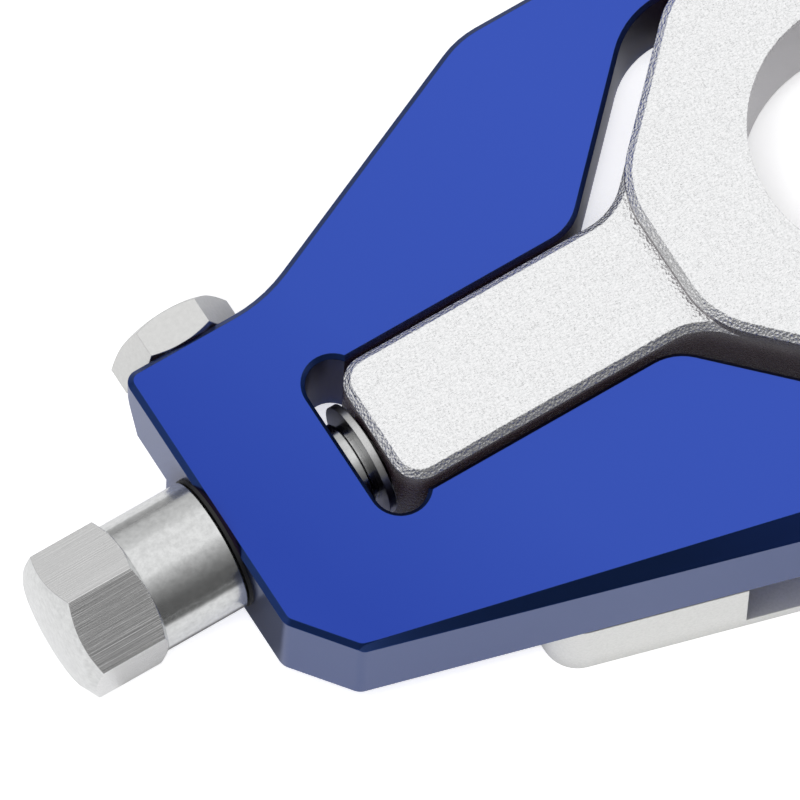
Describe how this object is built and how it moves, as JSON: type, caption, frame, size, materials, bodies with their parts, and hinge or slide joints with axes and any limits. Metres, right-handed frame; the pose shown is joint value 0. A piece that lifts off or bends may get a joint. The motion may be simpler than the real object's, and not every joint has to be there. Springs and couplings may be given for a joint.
{
  "type": "motorcycle chain adjuster",
  "caption": "Swingarm chain adjuster: a slotted side plate with an axle carrier that a long hex-headed screw draws along its window.",
  "frame": {"origin": "centre of the axle bore, on the level of the plate's top face", "axes": "+X along the adjuster screw away from its hex head, +Y towards the lock screw, +Z out of the plate's top face along the axle"},
  "size_m": [0.1434, 0.0557, 0.0212],
  "materials": {
    "blue_anodised": "satin blue anodised",
    "blasted_aluminium": "bead blasted",
    "screw_steel": "turned and brushed",
    "black_nylon": "plain",
    "spring_steel": "phosphated",
    "bolt_steel": "zinc plated",
    "machined_aluminium": "fine machined",
    "cap_steel": "plain"
  },
  "bodies": {
    "plate": {"frame_plate": "blue_anodised", "thrust_washer": "black_nylon", "lock_screw": "bolt_steel", "back_spacer": "machined_aluminium", "spacer_screws": "cap_steel"},
    "screw": {"adjuster_screw": "screw_steel", "snap_ring": "spring_steel"},
    "carrier": {"axle_carrier": "blasted_aluminium"}
  },
  "joints": [
    {"name": "screw_turn", "type": "hinge", "parent": "plate", "child": "screw", "pos_m": [-0.068, 0, -0.0052], "axis": [1, 0, 0], "range_deg": [-7201, 87]},
    {"name": "carrier_slide", "type": "slide", "parent": "plate", "child": "carrier", "axis": [1, 0, 0], "range_m": [-0.0003, 0.025]}
  ],
  "couplings": [
    {"joint": "screw_turn", "follows": "carrier_slide", "rad_per_m": -5026.5}
  ]
}
